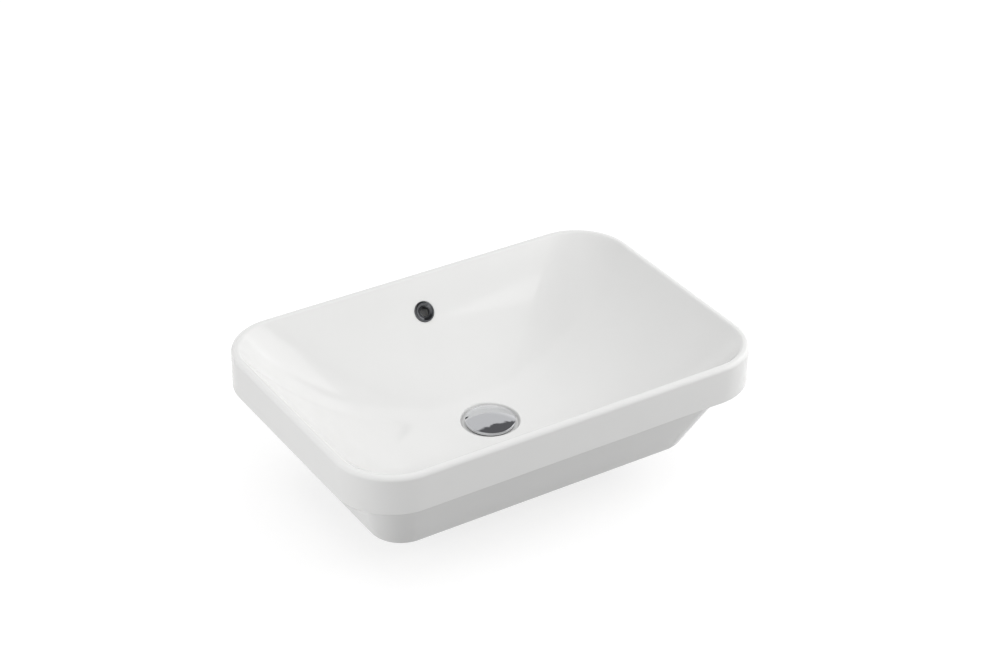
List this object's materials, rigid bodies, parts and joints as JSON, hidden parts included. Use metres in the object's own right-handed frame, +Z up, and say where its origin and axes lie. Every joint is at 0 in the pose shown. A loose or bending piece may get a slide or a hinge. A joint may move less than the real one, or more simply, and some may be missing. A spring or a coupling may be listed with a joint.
{
  "type": "semi recessed wash basin",
  "caption": "Rectangular glazed ceramic basin for a worktop cut-out, with an overflow ring and a slotted waste with a press-to-open domed plug.",
  "frame": {"origin": "plan centre of the band, at the level of its underside, which rests on the worktop", "axes": "+X right along the long side, +Y to the back where the overflow is, +Z up out of the bowl"},
  "size_m": [0.56, 0.38, 0.1955],
  "materials": {
    "glaze": "white gloss glaze, unglazed foot ring",
    "chrome_trim": "bright chrome plate",
    "chrome_brass": "chrome-plated brass",
    "chrome_cap": "polished chrome plate",
    "raw_brass": "turned, uncoated",
    "seal_rubber": "moulded black rubber",
    "slip_plastic": "white polythene",
    "cam_plastic": "white acetal",
    "spring_steel": "stainless spring wire"
  },
  "bodies": {
    "root": {"basin_body": "glaze", "overflow_ring": "chrome_trim", "waste_body": "chrome_brass", "flange_gasket": "seal_rubber", "taper_washer": "seal_rubber", "slip_washer": "slip_plastic", "backnut": "raw_brass", "cartridge_housing": "raw_brass", "plunger_oring": "seal_rubber", "cartridge_plug": "raw_brass", "cartridge_spring": "spring_steel"},
    "plug": {"pop_up_cap": "chrome_cap", "cap_seal": "seal_rubber", "plunger": "raw_brass", "index_cam": "cam_plastic"}
  },
  "joints": [
    {"name": "plug_slide", "type": "slide", "parent": "root", "child": "plug", "axis": [0, 0, 1], "range_m": [0, 0.009], "deforming": ["cartridge_spring"]}
  ]
}
